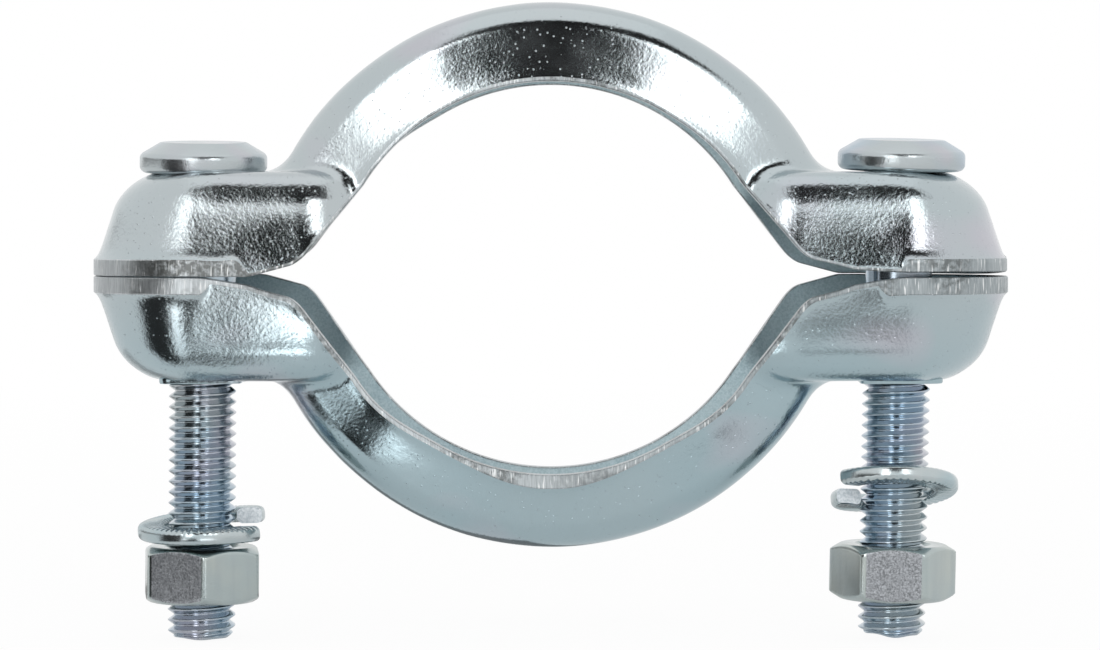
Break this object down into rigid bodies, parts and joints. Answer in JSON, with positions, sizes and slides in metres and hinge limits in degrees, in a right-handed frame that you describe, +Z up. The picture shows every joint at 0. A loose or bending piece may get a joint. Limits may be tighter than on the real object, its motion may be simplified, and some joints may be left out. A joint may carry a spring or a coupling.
{
  "type": "two-piece pipe clamp",
  "caption": "Pressed steel pipe clamp: mating half rings with hollow bolt ears, closed round a pipe by bolts, spring washers and hexagon nuts.",
  "frame": {"origin": "middle of the plane where the two halves meet, on the pipe's axis midway between the bolts", "axes": "+X from the left bolt to the right bolt, +Y along the pipe's axis away from the front, +Z up towards the bolts' heads"},
  "size_m": [0.1072, 0.0258, 0.0741],
  "materials": {
    "pressed_sheet": "bright blue-white zinc plate on pressed steel sheet",
    "bolts": "bright blue-white zinc plate on rolled steel",
    "washers": "bright zinc plate on spring steel",
    "nuts": "zinc plate on forged steel, satin faces"
  },
  "bodies": {
    "upper_half": {"clamp_half_upper": "pressed_sheet", "bolt_left": "bolts", "bolt_right": "bolts"},
    "lower_half": {"clamp_half_lower": "pressed_sheet"},
    "washer_left": {"spring_washer_left": "washers"},
    "washer_right": {"spring_washer_right": "washers"},
    "nut_left": {"hex_nut_left": "nuts"},
    "nut_right": {"hex_nut_right": "nuts"}
  },
  "joints": [
    {"name": "lower_half_slide", "type": "slide", "parent": "upper_half", "child": "lower_half", "axis": [0, 0, -1], "range_m": [0, 0.0061]},
    {"name": "washer_left_slide", "type": "slide", "parent": "upper_half", "child": "washer_left", "axis": [0.007, 0, 1], "range_m": [-0.0044, 0.0086]},
    {"name": "nut_left_turn", "type": "hinge", "parent": "washer_left", "child": "nut_left", "pos_m": [-0.0408, 0, 0], "axis": [0.007, 0, 1], "range_deg": [-1268, 2478]},
    {"name": "washer_right_slide", "type": "slide", "parent": "upper_half", "child": "washer_right", "axis": [0.0192, 0, 0.9998], "range_m": [-0.0042, 0.0033]},
    {"name": "nut_right_turn", "type": "hinge", "parent": "washer_right", "child": "nut_right", "pos_m": [0.0408, 0, 0], "axis": [0.0192, 0, 0.9998], "range_deg": [-1211, 951]}
  ],
  "couplings": [
    {"joint": "nut_left_turn", "follows": "washer_left_slide", "rad_per_m": 5026.5},
    {"joint": "nut_right_turn", "follows": "washer_right_slide", "rad_per_m": 5026.5}
  ]
}
